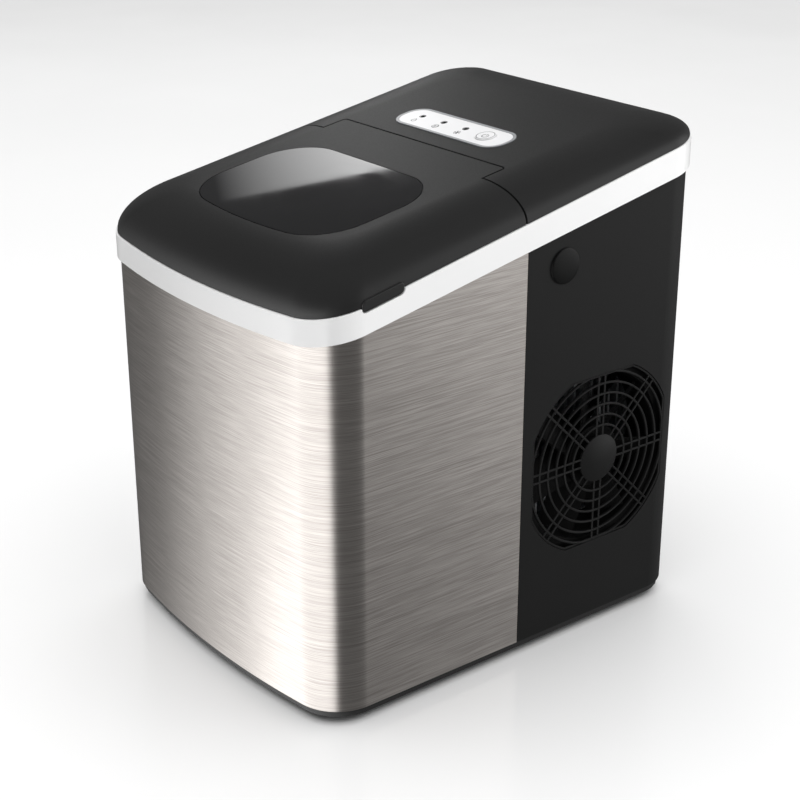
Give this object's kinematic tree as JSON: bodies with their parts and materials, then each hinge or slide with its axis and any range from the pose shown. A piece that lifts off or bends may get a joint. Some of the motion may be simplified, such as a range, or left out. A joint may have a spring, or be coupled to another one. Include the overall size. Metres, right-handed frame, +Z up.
{
  "type": "countertop ice maker",
  "caption": "Countertop ice maker with a steel front, black shell, white band, hinged dome lid with smoked window, tilting water tray, basket and fan.",
  "frame": {"origin": "on the surface it stands on, under the middle of the case's box", "axes": "+X towards the machine's right side as its user faces it from the front, where the fan grille is; -Y towards its bowed steel front; +Z up"},
  "size_m": [0.242, 0.308, 0.3299],
  "materials": {
    "steel": "horizontally brushed stainless steel, satin",
    "shell_black": "black moulded ABS, fine satin texture",
    "base_black": "black moulded ABS, matt",
    "dome_charcoal": "charcoal moulded ABS, silky matt",
    "band_white": "white moulded ABS, glossy",
    "window_smoked": "smoked polycarbonate, polished",
    "panel_grey": "light grey moulded ABS",
    "panel_white": "white membrane overlay, satin",
    "lens_dark": "smoked lens, polished",
    "circuit_board": "green solder mask on glass-fibre laminate",
    "tub_plastic": "light grey food-safe ABS, satin",
    "works_white": "white moulded polypropylene",
    "works_black": "black glass-filled nylon, matt",
    "hose_clear": "translucent silicone hose",
    "nickel": "nickel plated, polished",
    "aluminium": "mill finish",
    "copper": "drawn copper tube",
    "painted_steel": "black enamelled steel",
    "rubber": "black moulded rubber"
  },
  "bodies": {
    "cabinet": {"front_wrap": "steel", "rear_shell": "shell_black", "fan_grille": "shell_black", "side_port_cap": "shell_black", "base_pan": "base_black", "trim_band": "band_white", "rear_deck": "dome_charcoal", "panel_bezel": "panel_grey", "panel_overlay": "panel_white", "status_led_1": "lens_dark", "status_led_2": "lens_dark", "status_led_3": "lens_dark", "display_board": "circuit_board", "inner_tub": "tub_plastic", "hinge_pin_left": "nickel", "hinge_pin_right": "nickel", "evaporator": "nickel", "ice_sensor_emitter": "lens_dark", "ice_sensor_receiver": "lens_dark", "tilt_gearmotor": "works_white", "water_pump": "works_black", "pump_hose": "hose_clear", "drain_seal": "rubber", "compressor": "painted_steel", "compressor_grommet_1": "rubber", "compressor_grommet_2": "rubber", "compressor_grommet_3": "rubber", "condenser": "aluminium", "fan_frame": "works_black", "filter_drier": "copper", "discharge_pipe": "copper", "capillary_pipe": "copper", "suction_pipe": "copper", "hot_gas_valve": "painted_steel", "power_board": "circuit_board", "mains_inlet": "works_black", "rating_plate": "aluminium", "rear_screw_lower_left": "nickel", "rear_screw_lower_right": "nickel", "rear_screw_upper_left": "nickel", "rear_screw_upper_right": "nickel", "foot_front_left": "rubber", "foot_front_right": "rubber", "foot_rear_left": "rubber", "foot_rear_right": "rubber"},
    "lid": {"lid_shell": "dome_charcoal", "lid_window": "window_smoked"},
    "power_button": {"power_button": "panel_white"},
    "fan": {"fan_rotor": "works_black"},
    "tray": {"water_tray": "works_white", "tray_shaft": "nickel"},
    "pusher": {"ice_pusher": "works_white", "pusher_shaft": "nickel"},
    "basket": {"ice_basket": "tub_plastic"},
    "drain_cap": {"drain_cap": "works_white"}
  },
  "joints": [
    {"name": "lid_hinge", "type": "hinge", "parent": "cabinet", "child": "lid", "pos_m": [0, 0.008, 0.3061], "axis": [-1, 0, 0], "range_deg": [0, 100]},
    {"name": "power_press", "type": "slide", "parent": "cabinet", "child": "power_button", "axis": [0, 0.1724, -0.985], "range_m": [0, 0.0007], "stiffness_N_per_m": 600, "springref_m": -0.0005},
    {"name": "fan_spin", "type": "hinge", "parent": "cabinet", "child": "fan", "pos_m": [0.1, 0.0713, 0.1213], "axis": [1, 0, 0], "continuous": true},
    {"name": "tray_tilt", "type": "hinge", "parent": "cabinet", "child": "tray", "pos_m": [0, 0.012, 0.236], "axis": [1, 0, 0], "range_deg": [0, 85]},
    {"name": "pusher_swing", "type": "hinge", "parent": "cabinet", "child": "pusher", "pos_m": [0, -0.046, 0.256], "axis": [-1, 0, 0], "range_deg": [0, 51]},
    {"name": "basket_lift", "type": "slide", "parent": "cabinet", "child": "basket", "axis": [0, 0, 1], "range_m": [0, 0.03]},
    {"name": "drain_turn", "type": "hinge", "parent": "cabinet", "child": "drain_cap", "pos_m": [-0.06, -0.1, 0.005], "axis": [0, 0, 1], "range_deg": [0, 90]}
  ],
  "couplings": [
    {"joint": "pusher_swing", "follows": "tray_tilt", "ratio": 0.5882}
  ]
}
